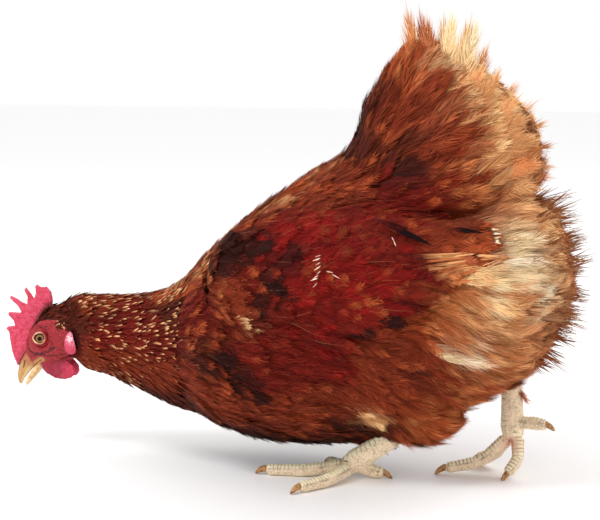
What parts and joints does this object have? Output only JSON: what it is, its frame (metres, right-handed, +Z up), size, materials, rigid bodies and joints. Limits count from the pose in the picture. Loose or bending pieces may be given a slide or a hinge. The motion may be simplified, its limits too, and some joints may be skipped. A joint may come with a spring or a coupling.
{
  "type": "hen",
  "caption": "Life-size brown laying hen in mid-step, neck lowered to peck, tail raised and body feathers fluffed.",
  "frame": {"origin": "on the floor, under the middle of the hen's bounding box", "axes": "+Z up; the hen faces -Y, its tail is towards +Y and its left side is +X"},
  "size_m": [0.1994, 0.4836, 0.3626],
  "materials": {
    "plumage": "matt feathers, deep red-brown",
    "fluff": "matt down feathers, tan and cream",
    "hackle": "matt narrow feathers, red-brown with pale tips",
    "tail": "matt feathers, ginger",
    "red_skin": "fleshy, slightly moist red skin",
    "horn": "smooth horn",
    "scales": "scaled pale yellow skin",
    "eye": "wet, with an amber iris and a black pupil"
  },
  "bodies": {
    "root": {"bill_lower": "horn", "bill_upper": "horn", "claw_hallux_left": "horn", "claw_hallux_right": "horn", "claw_inner_left": "horn", "claw_inner_right": "horn", "claw_middle_left": "horn", "claw_middle_right": "horn", "claw_outer_left": "horn", "claw_outer_right": "horn", "comb": "red_skin", "earlobe_left": "red_skin", "earlobe_right": "red_skin", "eye_left": "eye", "eye_right": "eye", "fluff": "fluff", "head": "red_skin", "neck": "hackle", "shank_left": "scales", "shank_right": "scales", "tail": "tail", "thigh_left": "plumage", "thigh_right": "plumage", "toe_hallux_left": "scales", "toe_hallux_right": "scales", "toe_inner_left": "scales", "toe_inner_right": "scales", "toe_middle_left": "scales", "toe_middle_right": "scales", "toe_outer_left": "scales", "toe_outer_right": "scales", "trunk": "plumage", "wattle_left": "red_skin", "wattle_right": "red_skin", "wing_left": "plumage", "wing_right": "plumage"}
  },
  "joints": []
}
